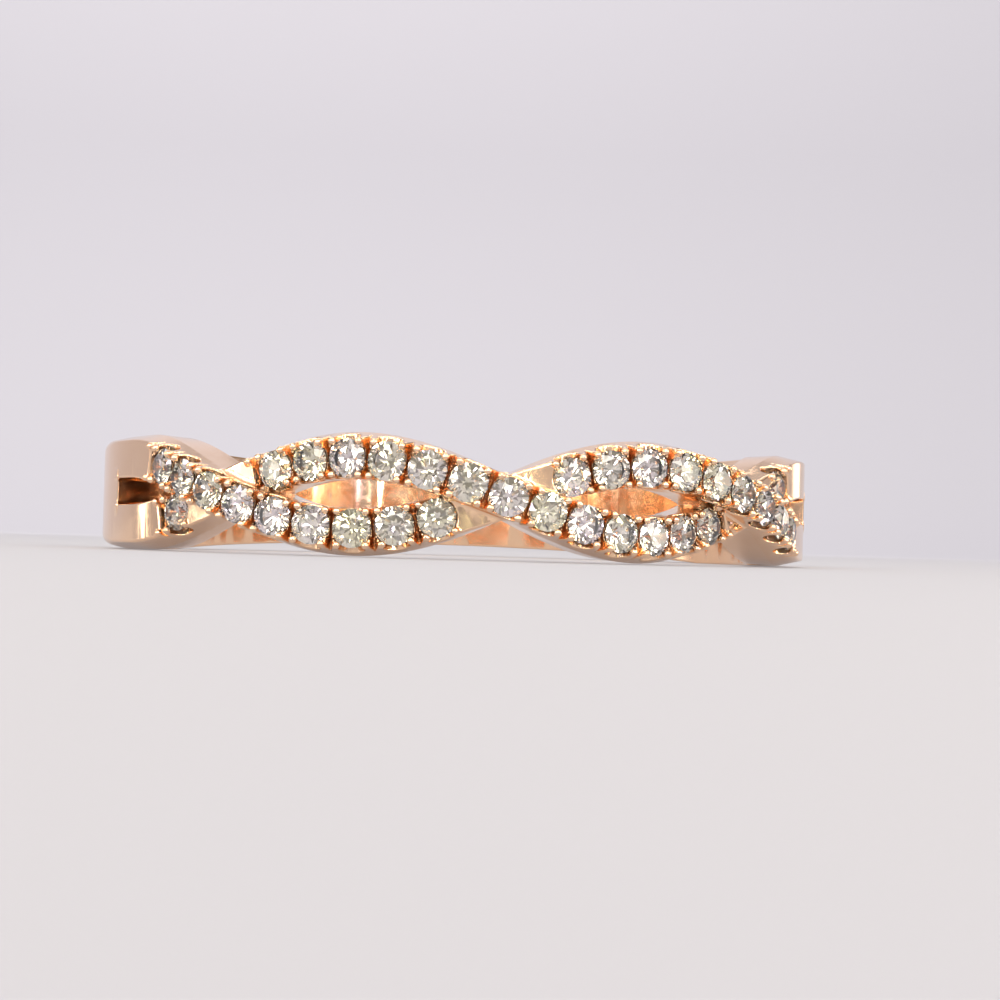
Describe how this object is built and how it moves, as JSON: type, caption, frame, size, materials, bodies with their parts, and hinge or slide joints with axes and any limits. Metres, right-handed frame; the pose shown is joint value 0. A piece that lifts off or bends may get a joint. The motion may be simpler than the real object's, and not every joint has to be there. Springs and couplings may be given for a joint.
{
  "type": "infinity ring",
  "caption": "Ring whose front half is a twist of two crossing strands, each set with a line of small round cut stones, on a plain polished shank.",
  "frame": {"origin": "centre of the finger hole, halfway across the band", "axes": "+Z along the axis of the finger hole; -Y towards the middle crossing of the two strands; +X to the right when the stones face the viewer"},
  "size_m": [0.0206, 0.021, 0.0032],
  "materials": {
    "rose_gold": "polished",
    "stone": "polished"
  },
  "bodies": {
    "root": {"band": "rose_gold", "stone_1": "stone", "stone_2": "stone", "stone_3": "stone", "stone_4": "stone", "stone_5": "stone", "stone_6": "stone", "stone_7": "stone", "stone_8": "stone", "stone_9": "stone", "stone_10": "stone", "stone_11": "stone", "stone_12": "stone", "stone_13": "stone", "stone_14": "stone", "stone_15": "stone", "stone_16": "stone", "stone_17": "stone", "stone_18": "stone", "stone_19": "stone", "stone_20": "stone", "stone_21": "stone", "stone_22": "stone", "stone_23": "stone", "stone_24": "stone", "stone_25": "stone", "stone_26": "stone", "stone_27": "stone", "stone_28": "stone", "stone_29": "stone", "stone_30": "stone", "stone_31": "stone", "stone_32": "stone", "stone_33": "stone"}
  },
  "joints": []
}
